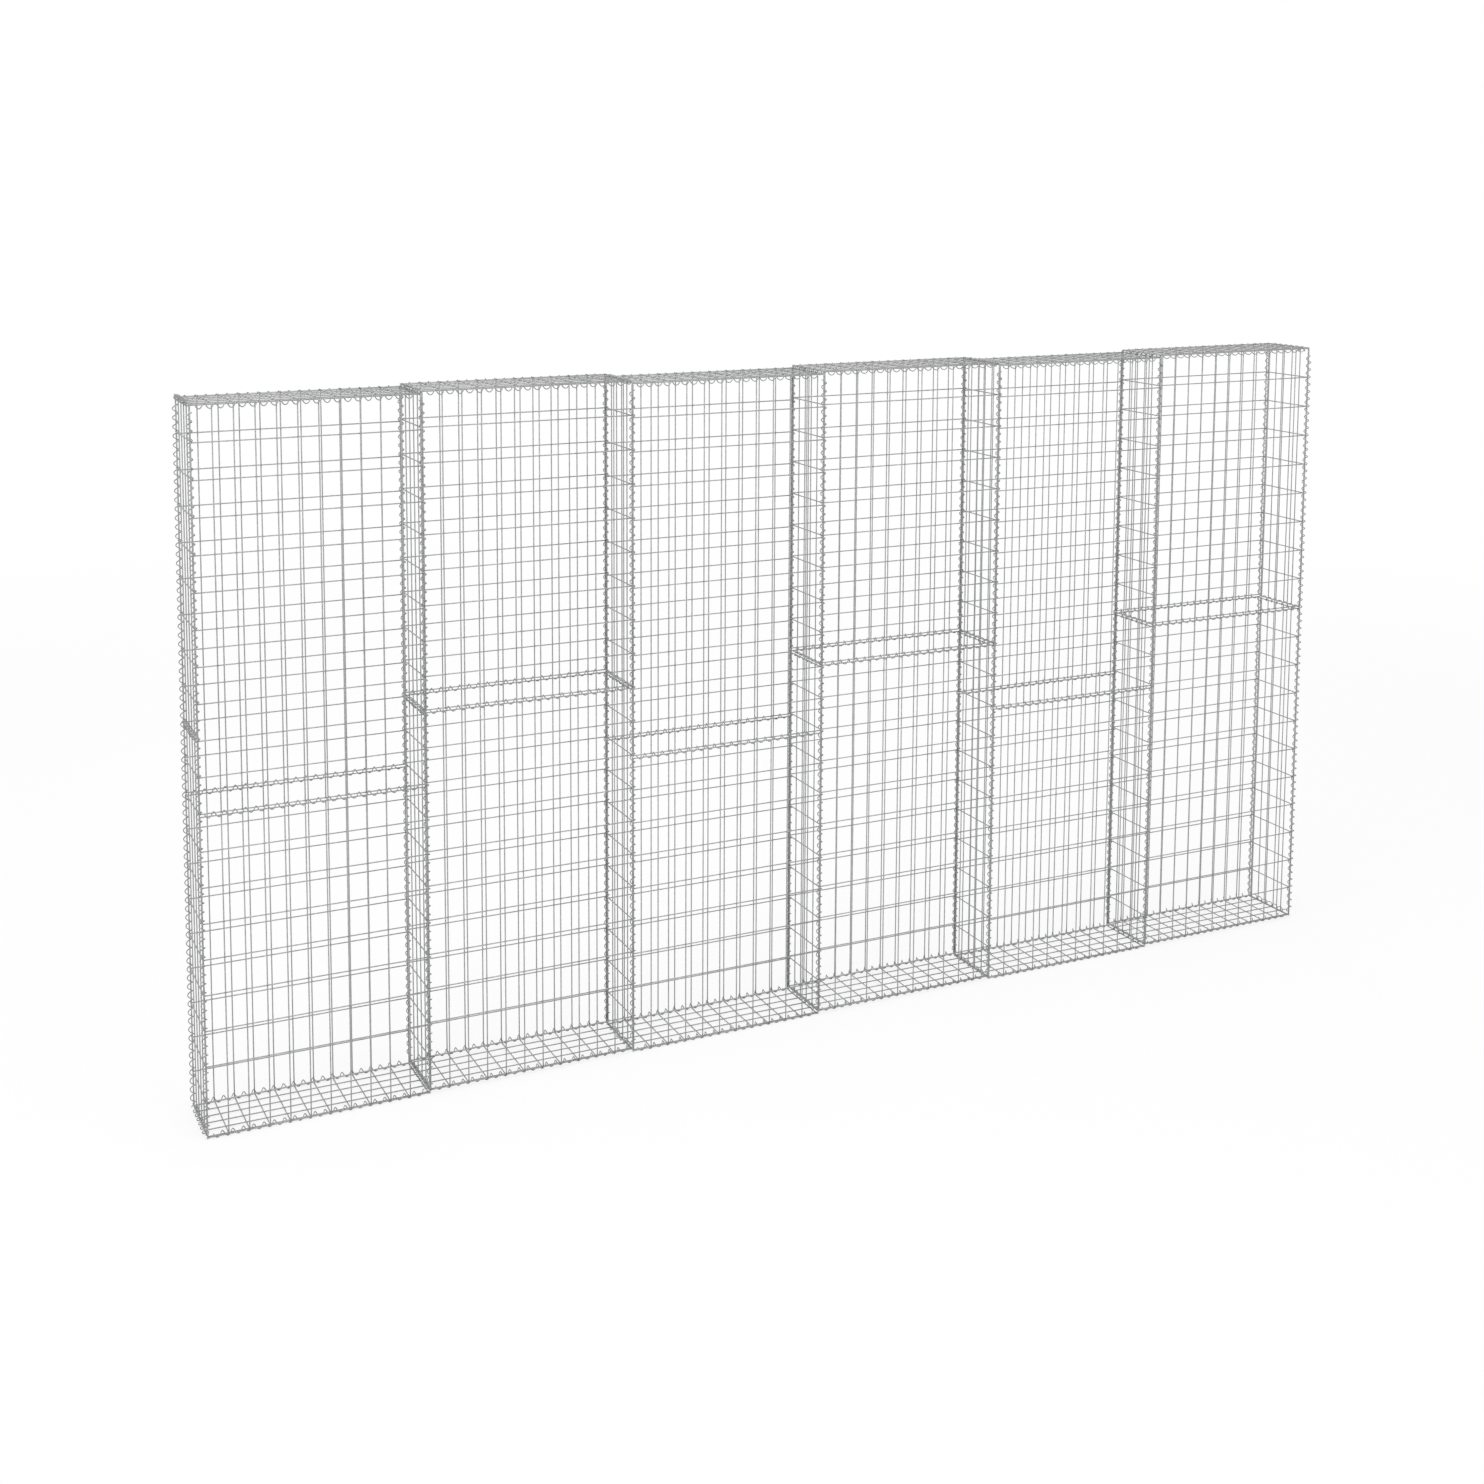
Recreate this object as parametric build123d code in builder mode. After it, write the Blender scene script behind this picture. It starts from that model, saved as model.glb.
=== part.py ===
"""Run of six welded mesh gabion baskets, empty and laced shut with wire spirals."""

import os

from build123d import *

os.makedirs("parts", exist_ok=True)

# Driving dimensions, in millimetres: X runs along the wall, Y from front to back, Z up
bay_count = 6
bay_pitch = 630.0  # one partition to the next
wall_depth = 200.0  # front mesh to back mesh
row_pitch = 100.0  # between the horizontal wires of an upright panel
short_rows = 9
tall_rows = 11
bay_columns = 11  # mesh cells along one bay
depth_columns = 5  # mesh cells from front to back
mesh_wire = 3.5
bay_step = 7.0  # odd bays stand this much lower than even ones
seam_slack = 0.3  # between the two panels stacked at a seam
spiral_wire = 3.0
spiral_width = 18.0  # across the outside of a spiral
corner_spiral_pitch = 50.0
corner_spiral_rise = 20.0  # first bar of a corner spiral above the lowest mesh

# Mesh pitches, from outer wire to outer wire of each panel
column_pitch = (bay_pitch - mesh_wire) / bay_columns
flat_column_pitch = (bay_pitch - 2 * mesh_wire) / bay_columns
depth_pitch = (wall_depth - 2 * mesh_wire) / depth_columns

# Heights and levels
short_height = short_rows * row_pitch + mesh_wire
tall_height = tall_rows * row_pitch + mesh_wire
mesh_height = short_height + seam_slack + tall_height
low_level = spiral_wire
high_level = low_level + bay_step

# Spirals: bars stand on the centre of the wire, the inside clears the wires that are laced
spiral_reach = (spiral_width - spiral_wire) / 2
spiral_inside = spiral_reach - spiral_wire / 2

# Planes of the front and back mesh
front_y = -wall_depth / 2
back_y = wall_depth / 2


def line_x(line):
    """Place of a partition along the wall, counted from 0 at the left end."""
    return (line - bay_count / 2) * bay_pitch


def bay_x(bay):
    """Middle of a bay, counted from 1 at the left end."""
    return (line_x(bay - 1) + line_x(bay)) / 2


def is_low(bay):
    """Odd bays stand low and have their seam low, even bays stand and seam high."""
    return bay % 2 == 1


def bay_level(bay):
    """Underside of a bay's mesh."""
    return low_level if is_low(bay) else high_level


def lower_height(bay):
    """Height of the panel below a bay's seam."""
    return short_height if is_low(bay) else tall_height


def neighbours(line):
    """Bays that meet at a partition."""
    return [bay for bay in (line, line + 1) if 1 <= bay <= bay_count]


def mesh_panel(plane, columns, pitch_across, rows, pitch_up):
    """Welded mesh, with its wires fused where they cross, standing on the plane's X axis."""
    width = columns * pitch_across + mesh_wire
    height = rows * pitch_up + mesh_wire
    with BuildPart() as panel:
        with BuildSketch(plane.offset(-mesh_wire / 2)):
            with Locations((0, height / 2)):
                Rectangle(width, height)
                with GridLocations(pitch_across, pitch_up, columns, rows):
                    Rectangle(pitch_across - mesh_wire, pitch_up - mesh_wire, mode=Mode.SUBTRACT)
        extrude(amount=mesh_wire)
    return panel.part


def stacked_panels(lower, upper, seam_height):
    """Two panels of one side, one above the other."""
    with BuildPart() as side:
        add(lower)
        with Locations((0, 0, seam_height + seam_slack)):
            add(upper)
    return side.part


def wound_spiral(pitch, bar_count):
    """Square spiral about Z: bars along Y, left and right in turn, with slanted runs between them."""
    rise = pitch / 2
    reach = spiral_reach
    with BuildPart() as spiral:
        with BuildSketch(Plane.XZ.offset(spiral_width / 2)):
            for bar in range(bar_count):
                side = reach if bar % 2 else -reach
                with Locations((side, bar * rise)):
                    Rectangle(spiral_wire, spiral_wire)
        extrude(amount=-spiral_width)
        for plane_offset, first_run in ((-spiral_reach, 0), (spiral_reach, 1)):
            with BuildSketch(Plane.XZ.offset(plane_offset - spiral_wire / 2)):
                for run in range(first_run, bar_count - 1, 2):
                    end = spiral_inside if run % 2 else -spiral_inside
                    low = run * rise - spiral_wire / 2
                    with BuildLine():
                        Polyline(
                            (end, low),
                            (-end, low + rise),
                            (-end, low + rise + spiral_wire),
                            (end, low + spiral_wire),
                            close=True,
                        )
                    make_face()
            extrude(amount=spiral_wire)
    return spiral.part


def save_copies(name, piece, places):
    """Write one node that holds a copy of the piece at each place, all apart from one another."""
    with BuildPart() as node:
        with Locations(*places):
            add(piece, clean=False)
    node.part.label = name
    export_step(node.part, f"parts/{name}.step", write_pcurves=False)


# Upright mesh of the long sides and of the partitions
short_side = mesh_panel(Plane.XZ, bay_columns, column_pitch, short_rows, row_pitch)
tall_side = mesh_panel(Plane.XZ, bay_columns, column_pitch, tall_rows, row_pitch)
low_seam_side = stacked_panels(short_side, tall_side, short_height)
high_seam_side = stacked_panels(tall_side, short_side, tall_height)
partition = stacked_panels(
    mesh_panel(Plane.YZ, depth_columns, depth_pitch, tall_rows, row_pitch),
    mesh_panel(Plane.YZ, depth_columns, depth_pitch, short_rows, row_pitch),
    tall_height,
)

# Flat mesh of the floors and covers, between the long sides and between the partitions
with BuildPart() as flat_mesh:
    with BuildSketch():
        Rectangle(
            bay_columns * flat_column_pitch + mesh_wire,
            depth_columns * depth_pitch + mesh_wire,
        )
        with GridLocations(flat_column_pitch, depth_pitch, bay_columns, depth_columns):
            Rectangle(flat_column_pitch - mesh_wire, depth_pitch - mesh_wire, mode=Mode.SUBTRACT)
    extrude(amount=mesh_wire)

# Panels of each bay
bays = range(1, bay_count + 1)
for bay in bays:
    side = low_seam_side if is_low(bay) else high_seam_side
    level = bay_level(bay)
    cover_level = level + mesh_height - mesh_wire
    save_copies(f"front_panel_bay_{bay}", side, [(bay_x(bay), front_y, level)])
    save_copies(f"back_panel_bay_{bay}", side, [(bay_x(bay), back_y, level)])
    save_copies(f"floor_panel_bay_{bay}", flat_mesh.part, [(bay_x(bay), 0, level)])
    save_copies(f"cover_panel_bay_{bay}", flat_mesh.part, [(bay_x(bay), 0, cover_level)])

# Partitions, all at the level of the even bays
lines = range(bay_count + 1)
for line in lines:
    save_copies(f"partition_panel_{line + 1}", partition, [(line_x(line), 0, high_level)])

# Upright spirals, hooked round the outer wires of each partition, with as many bars as fit below the covers
corner_room = mesh_height - mesh_wire - spiral_wire - corner_spiral_rise
corner_bars = int(2 * corner_room / corner_spiral_pitch) + 1
corner_spiral = wound_spiral(corner_spiral_pitch, corner_bars)
corner_hook = spiral_inside - 3 * mesh_wire / 2  # spiral axis outside the mesh plane
corner_level = low_level + corner_spiral_rise
front_corners = [Location((line_x(line), front_y - corner_hook, corner_level)) for line in lines]
back_corners = [
    Location((line_x(line), back_y + corner_hook, corner_level), (0, 0, 180)) for line in lines
]
save_copies("front_corner_spirals", corner_spiral, front_corners)
save_copies("back_corner_spirals", corner_spiral, back_corners)

# Spirals along the bays, with a bar in the middle of each mesh cell and one at each wire between
bay_spiral = wound_spiral(column_pitch, 2 * bay_columns - 1)
along_front = Plane(origin=(0, 0, 0), x_dir=(0, -1, 0), z_dir=(1, 0, 0))
along_back = Plane(origin=(0, 0, 0), x_dir=(0, 1, 0), z_dir=(1, 0, 0))


def bay_places(plane, spiral_y, height_in_bay):
    """Places for the spirals along the bays, where the height in a bay gives their axis."""
    start = (mesh_wire + column_pitch) / 2
    places = []
    for bay in bays:
        origin = (line_x(bay - 1) + start, spiral_y, bay_level(bay) + height_in_bay(bay))
        places.append(Plane(origin, x_dir=plane.x_dir, z_dir=plane.z_dir).location)
    return places


def seam_axis(bay):
    """Axis of a seam spiral: hung on the upper panel in odd bays, drawn up to the lower one in even bays."""
    if is_low(bay):
        return lower_height(bay) + seam_slack + mesh_wire - spiral_inside
    return lower_height(bay) - mesh_wire + spiral_inside


def base_axis(bay):
    """Axis of a spiral that the lowest wires rest in."""
    return spiral_inside


def top_axis(bay):
    """Axis of a spiral that hangs on the highest wires."""
    return mesh_height - spiral_inside


front_edge_y = front_y + mesh_wire / 2
back_edge_y = back_y - mesh_wire / 2
save_copies("front_seam_spirals", bay_spiral, bay_places(along_front, front_y, seam_axis))
save_copies("back_seam_spirals", bay_spiral, bay_places(along_back, back_y, seam_axis))
save_copies("front_base_spirals", bay_spiral, bay_places(along_front, front_edge_y, base_axis))
save_copies("back_base_spirals", bay_spiral, bay_places(along_back, back_edge_y, base_axis))
save_copies("front_top_spirals", bay_spiral, bay_places(along_front, front_edge_y, top_axis))
save_copies("back_top_spirals", bay_spiral, bay_places(along_back, back_edge_y, top_axis))

# Spirals across the wall, along the partitions
edge_spiral = wound_spiral(depth_pitch, 2 * depth_columns)
seam_spiral = wound_spiral(depth_pitch, 2 * depth_columns - 1)
first_wire_y = front_y + mesh_wire
base_places = []
top_places = []
seam_places = []
for line in lines:
    levels = [bay_level(bay) for bay in neighbours(line)]
    base_z = min(levels) + spiral_inside
    top_z = high_level + mesh_height - spiral_inside
    seam_z = high_level + tall_height + seam_slack + mesh_wire - spiral_inside
    edge_y = first_wire_y + depth_pitch / 4
    seam_y = first_wire_y + depth_pitch / 2
    base_places.append(Plane((line_x(line), edge_y, base_z), x_dir=(-1, 0, 0), z_dir=(0, 1, 0)).location)
    top_places.append(Plane((line_x(line), edge_y, top_z), x_dir=(1, 0, 0), z_dir=(0, 1, 0)).location)
    seam_places.append(Plane((line_x(line), seam_y, seam_z), x_dir=(-1, 0, 0), z_dir=(0, 1, 0)).location)
save_copies("partition_base_spirals", edge_spiral, base_places)
save_copies("partition_top_spirals", edge_spiral, top_places)
save_copies("partition_seam_spirals", seam_spiral, seam_places)
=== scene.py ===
"""Empty gabion wall in round galvanised wire: welded mesh panels laced by spirals, on a white stage."""

import math

import bpy
import numpy as np
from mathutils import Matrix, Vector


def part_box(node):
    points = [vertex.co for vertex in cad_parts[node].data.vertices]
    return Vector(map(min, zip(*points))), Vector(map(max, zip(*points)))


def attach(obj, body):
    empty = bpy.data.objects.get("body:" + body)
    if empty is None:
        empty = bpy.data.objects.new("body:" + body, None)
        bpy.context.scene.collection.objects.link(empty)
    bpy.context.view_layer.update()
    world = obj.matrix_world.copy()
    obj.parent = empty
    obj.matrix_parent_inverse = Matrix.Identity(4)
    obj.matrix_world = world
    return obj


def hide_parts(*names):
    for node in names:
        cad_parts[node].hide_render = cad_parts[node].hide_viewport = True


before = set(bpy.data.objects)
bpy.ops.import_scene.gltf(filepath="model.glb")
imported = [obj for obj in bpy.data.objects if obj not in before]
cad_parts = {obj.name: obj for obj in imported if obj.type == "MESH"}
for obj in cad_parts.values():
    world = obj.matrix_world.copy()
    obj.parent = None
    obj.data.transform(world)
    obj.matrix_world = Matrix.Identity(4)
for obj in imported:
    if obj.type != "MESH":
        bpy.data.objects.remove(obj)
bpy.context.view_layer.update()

# Counts and rows of the wall, the same as in the solids
bay_count = 6
bay_columns = 11  # mesh cells along one bay
depth_columns = 5  # mesh cells from front to back
short_rows = 9
tall_rows = 11
row_pitch = 0.1
bays = range(1, bay_count + 1)
lines = range(bay_count + 1)

# Long sides, with the direction along Y that leads out of the wall
long_sides = {"front": -1, "back": 1}

# Mesh wires, in metres
mesh_radius = 0.00175
mesh_wire = 2 * mesh_radius
bevel_share = 0.3  # of the radius, at the sheared ends
layer = 0.0013  # crossing wires lie this far to either side of the middle of their mesh
seam_spread = 0.0046  # one of the two wires at a seam lies this far off, on the other side of its spiral
bar_sides = 10

# Weld beads, a little larger or smaller from one to the next
weld_flat_share = 1.75  # half width in the plane of the mesh, of the mesh wire's radius
weld_rise_share = 0.8  # half height out of that plane, of the mesh wire's radius
weld_size_shares = (0.85, 1.15)  # smallest and largest bead
weld_sides = 7
weld_rings = 3
weld_seed = 7
weld_draws = np.random.default_rng(weld_seed)

# Spirals, in metres
spiral_wire = 0.003
coil_radius = 0.0075  # to the centre of the wire
coil_inside = coil_radius - spiral_wire / 2
corner_pitch = 0.025
bay_turns = 2  # to a mesh cell along the bays
depth_turns = 1.5  # to a mesh cell along the partitions
edge_shift = 0.0025  # spirals along the bays' edges start this much later, clear of the flat mesh
coil_sides = 6
coil_steps = 14  # in one turn

# Heights where corner spirals start, at even and odd lines, so that their turns pass the lying wires
corner_feet = {"front": (0.0265, 0.0165), "back": (0.0140, 0.0260)}

# Zinc finish, from two patterns that are mixed; texture scales are to a metre
zinc_metallic = 0.4
zinc_specular = 0.4
spangle_scale = 260.0
patch_scale = 14.0
patch_detail = 5.0
patch_roughness = 0.6
patch_share = 0.55  # of the mix, where the spangle has the rest
tone_range = (0.25, 0.75)  # of the mix, from the dark tone to the light one
gloss_range = (0.2, 0.8)  # of the mix, from the smoothest to the roughest
grain_scale = 1500.0
grain_detail = 3.0
grain_strength = 0.25
grain_depth = 0.0002

# Stage: white where it is seen, and the light that it throws on the wall stays at a plain level
sky_light = 0.75
floor_half = 40.0
floor_white = 0.93
floor_roughness = 0.9
floor_specular = 0.1
floor_glow_share = 0.78  # beside the wall, where the rest of the floor's white takes the shadow
fade_start, fade_end = 3.0, 9.0  # distances over which the floor goes over to plain white
light_target = np.array([0.0, 0.0, 1.0])

# Camera, at the spot that the lines of the photograph lead back to
camera_place = (-2.7897, -5.0686, 2.6071)
camera_dip = math.radians(5.932)  # below level
camera_turn = math.radians(24.122)  # to the right of straight on
camera_sensor = 36.0  # millimetres, like the lens
camera_lens = 46.0
camera_shift_shares = (0.06, -0.25)  # of the picture's width, as the photograph is framed
camera_reach = 200.0

X, Y, Z = np.eye(3)


def add_object(name, data):
    """New object in the scene."""
    obj = bpy.data.objects.new(name, data)
    bpy.context.scene.collection.objects.link(obj)
    return obj


class Shape:
    """Vertices and faces of one piece, gathered bit by bit."""

    def __init__(self):
        self.vertices = []
        self.faces = []
        self.smooth = []
        self.count = 0

    def add_tubes(self, points):
        """Take in tubes, whose points are given by tube, ring and side, and close them at both ends."""
        tubes, rings, sides = points.shape[:3]
        index = self.count + np.arange(tubes * rings * sides).reshape(tubes, rings, sides)
        after = np.roll(index, -1, axis=2)
        quads = np.stack([index[:, :-1], after[:, :-1], after[:, 1:], index[:, 1:]], -1).reshape(-1, 4)
        caps = np.concatenate([index[:, 0, ::-1], index[:, -1]])
        self.vertices.append(points.reshape(-1, 3))
        self.faces += quads.tolist() + caps.tolist()
        self.smooth += [True] * len(quads) + [False] * len(caps)
        self.count += index.size

    def piece(self, name, node, material):
        """Finish the object, which stands for a node of the solids."""
        mesh = bpy.data.meshes.new(name)
        mesh.from_pydata(np.concatenate(self.vertices).tolist(), [], self.faces)
        mesh.polygons.foreach_set("use_smooth", self.smooth)
        mesh.materials.append(material)
        mesh.update()
        obj = add_object(name, mesh)
        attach(obj, "root")
        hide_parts(node)


def circle(turn, first, second):
    """Points of a unit circle in the plane of two directions, each at its turn from the first one."""
    return np.cos(turn)[:, None] * first + np.sin(turn)[:, None] * second


def add_bars(shape, starts, ends):
    """Straight round wires along one axis each, sheared off with a small bevel."""
    length = np.linalg.norm(ends - starts, axis=1)[:, None]
    axis = (ends - starts) / length
    side = np.roll(axis, 1, axis=1)
    turn = (np.arange(bar_sides) + 0.5) * math.tau / bar_sides
    ring = circle(turn, side[:, None], np.cross(axis, side)[:, None])
    bevel = bevel_share * mesh_radius
    reach = np.hstack([0 * length, 0 * length + bevel, length - bevel, length])
    radii = np.array([mesh_radius - bevel, mesh_radius, mesh_radius, mesh_radius - bevel])
    centre = starts[:, None] + reach[:, :, None] * axis[:, None]
    shape.add_tubes(centre[:, :, None] + radii[:, None, None] * ring[:, None])


def add_welds(shape, centres, normal):
    """Squashed beads of metal where two wires were welded, flat along the normal of the mesh."""
    tilt = (weld_rings - 0.5 - np.arange(weld_rings)) * math.pi / weld_rings
    turn = np.arange(weld_sides) * math.tau / weld_sides
    first = np.roll(normal, 1)
    flat = weld_flat_share * np.sin(tilt)[:, None, None] * circle(turn, first, np.cross(normal, first))
    rise = weld_rise_share * np.cos(tilt)[:, None, None] * normal
    size = mesh_radius * weld_draws.uniform(*weld_size_shares, len(centres))
    shape.add_tubes(centres[:, None, None] + size[:, None, None, None] * (flat + rise))


def add_mesh(shape, origin, across, up, columns, rows, row_ends, column_ends):
    """One welded panel: upright wires at the columns, lying wires at the rows, on two sides of its middle.

    The normal is the cross product of the two directions, and the upright wires lie on that side.
    """
    normal = np.cross(across, up)
    upright = origin + layer * normal + np.outer(columns, across)
    lying = origin - layer * normal + np.outer(rows, up)
    add_bars(shape, upright + column_ends[0] * up, upright + column_ends[1] * up)
    add_bars(shape, lying + row_ends[0] * across, lying + row_ends[1] * across)
    crossings = origin + np.outer(columns, across)[:, None] + np.outer(rows, up)
    add_welds(shape, crossings.reshape(-1, 3), normal)


def add_coil(shape, origin, across, along, pitch, length):
    """Helix about the direction along, which starts on the side opposite to across."""
    third = np.cross(along, across)
    steps = round(coil_steps * length / pitch) + 1
    place = np.linspace(0, length, steps)
    turn = math.tau * place / pitch
    outward = circle(turn, -across, third)
    tangent = math.tau * coil_radius / pitch * circle(turn, third, across) + along
    tangent /= np.linalg.norm(tangent, axis=1)[:, None]
    centre = origin + coil_radius * outward + np.outer(place, along)
    wire_turn = np.arange(coil_sides) * math.tau / coil_sides
    section = circle(wire_turn, outward[:, None], np.cross(tangent, outward)[:, None])
    points = centre[:, None] + spiral_wire / 2 * section
    shape.add_tubes(points[None])


def set_inputs(tree, node, inputs):
    """Set inputs of a shader node, each to a value or to what another node gives out."""
    for name, given in inputs.items():
        if isinstance(given, bpy.types.NodeSocket):
            tree.links.new(given, node.inputs[name])
        else:
            node.inputs[name].default_value = given


def add_node(tree, kind, inputs):
    """New shader node with some of its inputs set."""
    node = tree.nodes.new(kind)
    set_inputs(tree, node, inputs)
    return node


def zinc(name, dark, light, rough):
    """Dull galvanised wire: fine spangle, broader dull patches and a faint grain in the surface."""
    material = bpy.data.materials.new(name)
    material.use_nodes = True
    tree = material.node_tree
    place = tree.nodes.new("ShaderNodeTexCoord").outputs["Object"]

    spangle = add_node(tree, "ShaderNodeTexVoronoi", {"Vector": place, "Scale": spangle_scale})
    crystal = add_node(tree, "ShaderNodeSeparateColor", {"Color": spangle.outputs["Color"]})
    patches = add_node(
        tree,
        "ShaderNodeTexNoise",
        {"Vector": place, "Scale": patch_scale, "Detail": patch_detail, "Roughness": patch_roughness},
    )
    both = add_node(
        tree,
        "ShaderNodeMix",
        {"Factor": patch_share, "A": crystal.outputs["Red"], "B": patches.outputs["Fac"]},
    )

    tone = add_node(tree, "ShaderNodeValToRGB", {"Fac": both.outputs["Result"]})
    for stop, position, colour in zip(tone.color_ramp.elements, tone_range, (dark, light)):
        stop.position = position
        stop.color = (*colour, 1)
    gloss = add_node(
        tree,
        "ShaderNodeMapRange",
        {
            "Value": both.outputs["Result"],
            "From Min": gloss_range[0],
            "From Max": gloss_range[1],
            "To Min": rough[0],
            "To Max": rough[1],
        },
    )

    grain = add_node(
        tree,
        "ShaderNodeTexNoise",
        {"Vector": place, "Scale": grain_scale, "Detail": grain_detail},
    )
    bump = add_node(
        tree,
        "ShaderNodeBump",
        {"Strength": grain_strength, "Distance": grain_depth, "Height": grain.outputs["Fac"]},
    )

    set_inputs(
        tree,
        tree.nodes["Principled BSDF"],
        {
            "Base Color": tone.outputs["Color"],
            "Metallic": zinc_metallic,
            "Roughness": gloss.outputs["Result"],
            "Specular IOR Level": zinc_specular,
            "Normal": bump.outputs["Normal"],
        },
    )
    return material


mesh_zinc = zinc(
    "zinc_mesh_wire", dark=(0.29, 0.293, 0.297), light=(0.47, 0.474, 0.479), rough=(0.42, 0.62)
)
coil_zinc = zinc(
    "zinc_spiral_wire", dark=(0.27, 0.273, 0.277), light=(0.44, 0.444, 0.449), rough=(0.36, 0.55)
)


def is_low(bay):
    """Odd bays stand low and have their seam low."""
    return bay % 2 == 1


def even(low, high, cells):
    """Places of a mesh's wires, with the outer ones just inside its two edges."""
    return np.linspace(low + mesh_radius, high - mesh_radius, cells + 1)


def stacked_mesh(shape, origin, across, columns, edges, low, high, rows, drop_lower):
    """Two panels of one side, one on top of the other, between the lowest and highest point of the side.

    At the seam either the highest wire of the lower panel drops, or the lowest wire of the upper one rises.
    """
    lower_rows, upper_rows = rows
    lower_top = low + lower_rows * row_pitch + mesh_wire
    upper_foot = high - upper_rows * row_pitch - mesh_wire
    lower_heights = even(low, lower_top, lower_rows)
    upper_heights = even(upper_foot, high, upper_rows)
    if drop_lower:
        lower_heights[-1] -= seam_spread
        lower_top -= seam_spread
    else:
        upper_heights[0] += seam_spread
        upper_foot += seam_spread
    add_mesh(shape, origin, across, Z, columns, lower_heights, edges, (low, lower_top))
    add_mesh(shape, origin, across, Z, columns, upper_heights, edges, (upper_foot, high))


# Long sides: the upright wires are outside, the lying wires inside
for side, outward in long_sides.items():
    for bay in bays:
        node = f"{side}_panel_bay_{bay}"
        low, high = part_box(node)
        middle = (low.y + high.y) / 2
        across = -outward * X
        edges = sorted((low.x * -outward, high.x * -outward))
        columns = even(*edges, bay_columns)
        rows = (short_rows, tall_rows) if is_low(bay) else (tall_rows, short_rows)
        shape = Shape()
        stacked_mesh(shape, middle * Y, across, columns, edges, low.z, high.z, rows, is_low(bay))
        shape.piece(f"{node}_wires", node, mesh_zinc)

# Partitions, whose outer upright wires stand just inside the mesh of the long sides
for line in lines:
    node = f"partition_panel_{line + 1}"
    low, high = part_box(node)
    middle = (low.x + high.x) / 2
    edges = (low.y + layer, high.y - layer)
    columns = even(*edges, depth_columns)
    shape = Shape()
    stacked_mesh(shape, middle * X, Y, columns, edges, low.z, high.z, (tall_rows, short_rows), True)
    shape.piece(f"{node}_wires", node, mesh_zinc)

# Floors and covers, with the wires that cross the wall outermost
for flat, outward in (("floor", -1), ("cover", 1)):
    for bay in bays:
        node = f"{flat}_panel_bay_{bay}"
        low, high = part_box(node)
        middle = (low.z + high.z) / 2
        ends = sorted((low.x * outward, high.x * outward))
        edges = (low.y + layer, high.y - layer)
        columns = even(*ends, bay_columns)
        rows = even(*edges, depth_columns)
        shape = Shape()
        add_mesh(shape, middle * Z, outward * X, Y, columns, rows, ends, edges)
        shape.piece(f"{node}_wires", node, mesh_zinc)

# Spirals up the corners, drawn in a little so that they go round the partition's wire
for side, outward in long_sides.items():
    node = f"{side}_corner_spirals"
    low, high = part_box(node)
    middle = (low.y + high.y) / 2 - outward * layer
    shape = Shape()
    for line in lines:
        panel_low, panel_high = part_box(f"partition_panel_{line + 1}")
        foot = corner_feet[side][line % 2]
        half_turns = math.floor(2 * (high.z - foot) / corner_pitch)
        origin = np.array([(panel_low.x + panel_high.x) / 2, middle, foot])
        add_coil(shape, origin, -outward * X, Z, corner_pitch, half_turns * corner_pitch / 2)
    shape.piece(f"{node}_coils", node, coil_zinc)


def bay_spiral_height(place, bay, low, high):
    """Axis of a spiral along a bay, from the lowest and highest point of the bay's panels."""
    if place == "base":
        return low + coil_inside
    if place == "top":
        return high - coil_inside
    if is_low(bay):
        return high - tall_rows * row_pitch - coil_inside
    return low + tall_rows * row_pitch + coil_inside


# Spirals along the bays
for side, outward in long_sides.items():
    for place in ("seam", "base", "top"):
        node = f"{side}_{place}_spirals"
        low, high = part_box(node)
        middle = (low.y + high.y) / 2
        shift = 0 if place == "seam" else edge_shift
        shape = Shape()
        for bay in bays:
            panel_low, panel_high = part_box(f"{side}_panel_bay_{bay}")
            pitch = (panel_high.x - panel_low.x - mesh_wire) / bay_columns / bay_turns
            start = panel_low.x + mesh_radius + pitch / 2 + shift
            height = bay_spiral_height(place, bay, panel_low.z, panel_high.z)
            length = (bay_turns * bay_columns - 1) * pitch - shift
            add_coil(shape, np.array([start, middle, height]), outward * Y, X, pitch, length)
        shape.piece(f"{node}_coils", node, coil_zinc)


def partition_spiral_height(place, line, high):
    """Axis of a spiral along a partition, from the floors beside it or from its own highest point."""
    if place == "base":
        floors = [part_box(f"floor_panel_bay_{bay}")[0].z for bay in (line, line + 1) if bay in bays]
        return min(floors) + coil_inside
    if place == "top":
        return high - coil_inside
    return high - short_rows * row_pitch - coil_inside


# Spirals across the wall, along the partitions
for place, across in (("base", -X), ("top", X), ("seam", -X)):
    node = f"partition_{place}_spirals"
    shape = Shape()
    for line in lines:
        panel_low, panel_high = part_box(f"partition_panel_{line + 1}")
        pitch = (panel_high.y - panel_low.y - mesh_wire) / depth_columns / depth_turns
        middle = (panel_low.x + panel_high.x) / 2
        start = panel_low.y + mesh_radius + pitch / 2
        height = partition_spiral_height(place, line, panel_high.z)
        length = (depth_turns * depth_columns - 1) * pitch
        add_coil(shape, np.array([middle, start, height]), across, Y, pitch, length)
    shape.piece(f"{node}_coils", node, coil_zinc)


def shown(tree):
    """Output that is 1 on rays that show the stage, straight or mirrored, and 0 on light that it throws."""
    path = tree.nodes.new("ShaderNodeLightPath")
    result = path.outputs["Is Camera Ray"]
    for ray in ("Is Glossy Ray", "Is Transmission Ray"):
        either = add_node(tree, "ShaderNodeMath", {0: result, 1: path.outputs[ray]})
        either.operation = "MAXIMUM"
        result = either.outputs["Value"]
    return result


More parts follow.
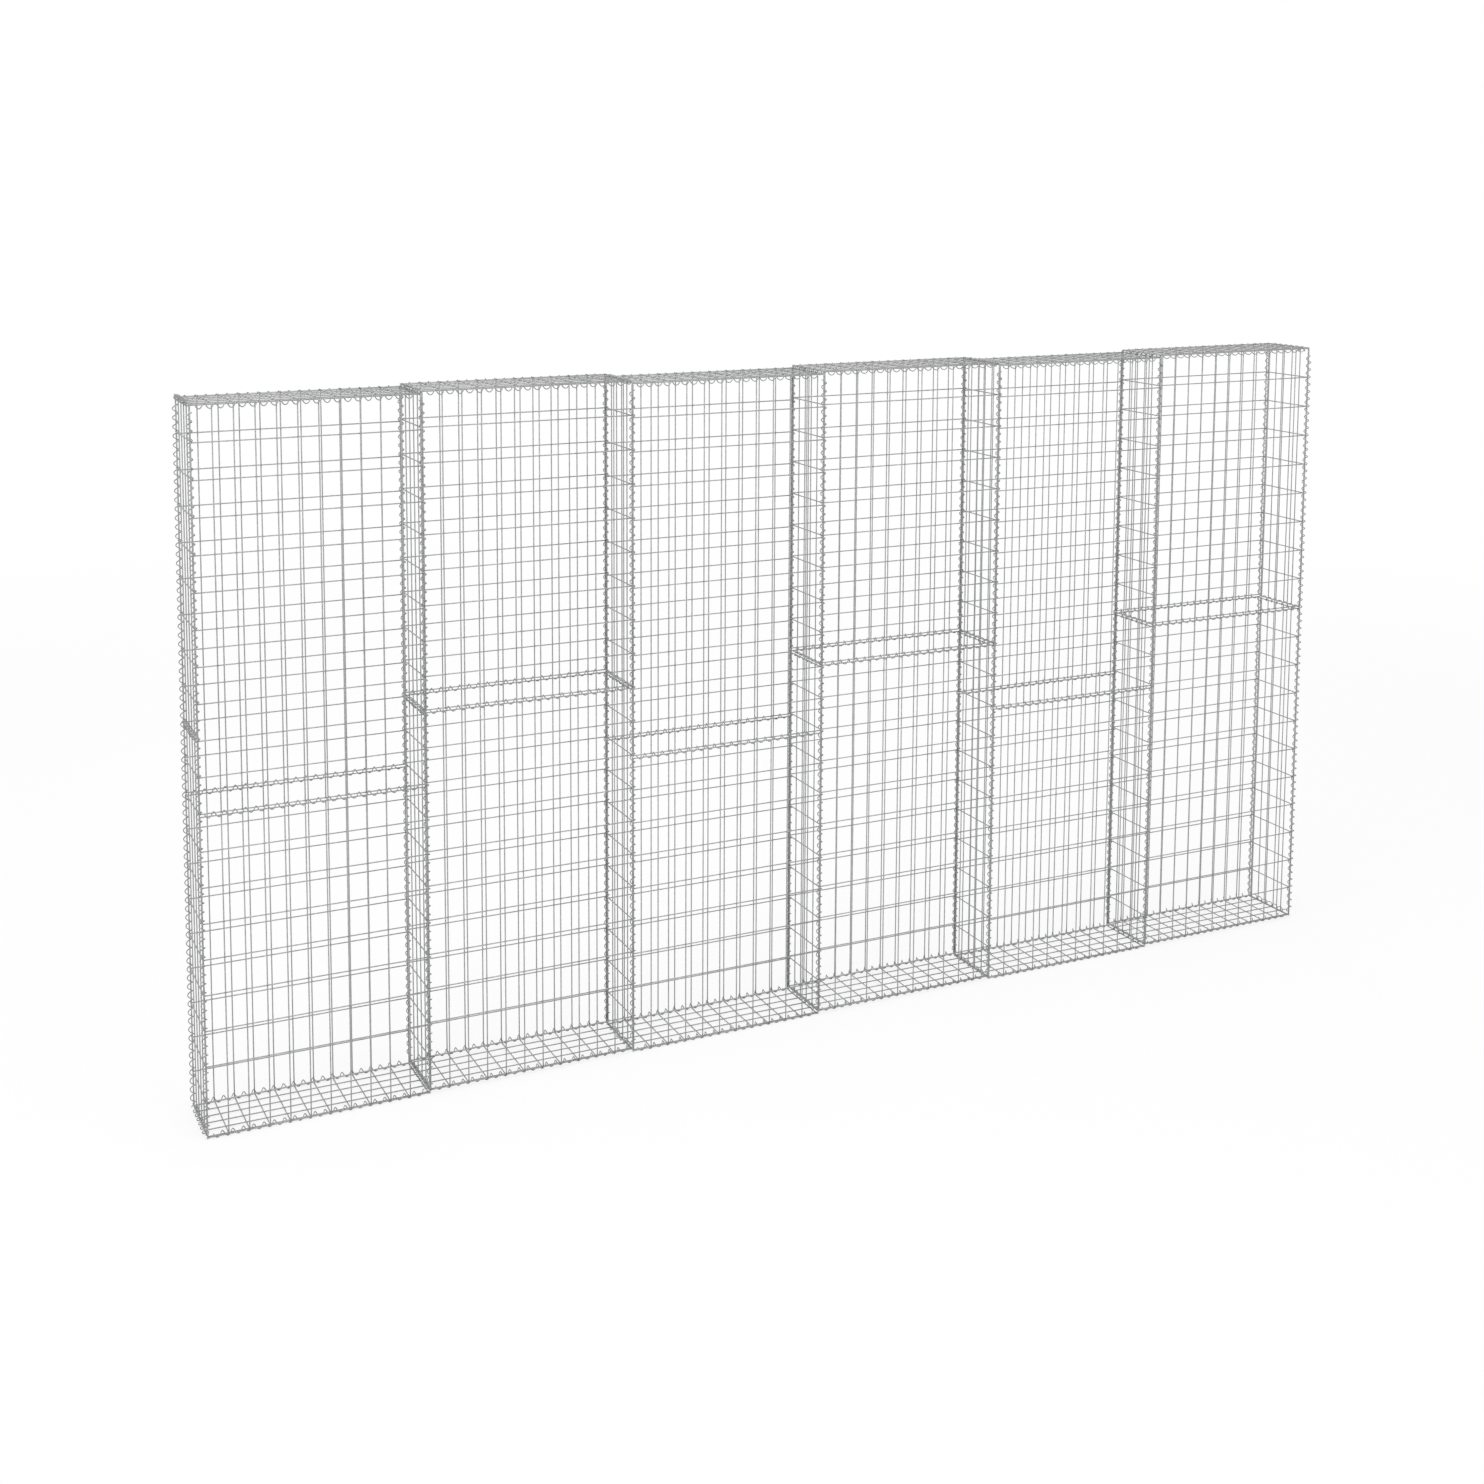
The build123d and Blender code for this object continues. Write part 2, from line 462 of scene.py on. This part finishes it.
def floor_paper():
    """White paper that keeps a soft shadow near the wall and fades to plain white far from it."""
    material = bpy.data.materials.new("studio_paper")
    material.use_nodes = True
    tree = material.node_tree
    shader = tree.nodes["Principled BSDF"]
    set_inputs(
        tree,
        shader,
        {
            "Base Color": (floor_white, floor_white, floor_white, 1),
            "Roughness": floor_roughness,
            "Specular IOR Level": floor_specular,
        },
    )
    place = tree.nodes.new("ShaderNodeTexCoord")
    away = add_node(tree, "ShaderNodeVectorMath", {0: place.outputs["Object"]})
    away.operation = "LENGTH"
    fade = add_node(
        tree,
        "ShaderNodeMapRange",
        {
            "Value": away.outputs["Value"],
            "From Min": fade_start,
            "From Max": fade_end,
            "To Min": floor_glow_share,
            "To Max": 1.0,
        },
    )
    fade.interpolation_type = "SMOOTHSTEP"
    share = add_node(tree, "ShaderNodeMath", {0: fade.outputs["Result"], 1: shown(tree)})
    share.operation = "MULTIPLY"
    glow = tree.nodes.new("ShaderNodeEmission")
    mix = add_node(
        tree,
        "ShaderNodeMixShader",
        {"Fac": share.outputs["Value"], 1: shader.outputs["BSDF"], 2: glow.outputs["Emission"]},
    )
    set_inputs(tree, tree.nodes["Material Output"], {"Surface": mix.outputs["Shader"]})
    return material


def soft_light(name, place, size, power):
    """Large square studio light, aimed at the middle of the wall."""
    light = bpy.data.lights.new(name, "AREA")
    light.shape = "SQUARE"
    light.size = size
    light.energy = power
    obj = add_object(name, light)
    obj.location = place
    aim = light_target - np.array(place)
    tilt = math.acos(-aim[2] / np.linalg.norm(aim))
    turn = math.atan2(aim[1], aim[0]) - math.pi / 2
    obj.rotation_euler = (tilt, 0, turn)


# Floor
floor_mesh = bpy.data.meshes.new("studio_floor")
floor_corners = [(x * floor_half, y * floor_half, 0) for x, y in ((-1, -1), (1, -1), (1, 1), (-1, 1))]
floor_mesh.from_pydata(floor_corners, [], [(0, 1, 2, 3)])
floor_mesh.materials.append(floor_paper())
floor = add_object("studio_floor", floor_mesh)

# Sky and lights
world = bpy.data.worlds.new("studio")
bpy.context.scene.world = world
world.use_nodes = True
sky = world.node_tree
strength = add_node(sky, "ShaderNodeMapRange", {"Value": shown(sky), "To Min": sky_light, "To Max": 1.0})
set_inputs(sky, sky.nodes["Background"], {"Color": (1, 1, 1, 1), "Strength": strength.outputs["Result"]})
soft_light("key_light", place=(-1.5, -2.0, 7.5), size=5.0, power=200)
soft_light("fill_light", place=(-5.0, -6.0, 3.5), size=4.0, power=60)
soft_light("rim_light", place=(2.0, 6.0, 5.0), size=4.0, power=50)

# Camera and view
camera_data = bpy.data.cameras.new("camera")
camera_data.sensor_width = camera_sensor
camera_data.lens = camera_lens
camera_data.shift_x, camera_data.shift_y = camera_shift_shares
camera_data.clip_end = camera_reach
camera = add_object("camera", camera_data)
camera.location = camera_place
camera.rotation_euler = (math.pi / 2 - camera_dip, 0, -camera_turn)
bpy.context.scene.camera = camera
bpy.context.scene.view_settings.view_transform = "Standard"
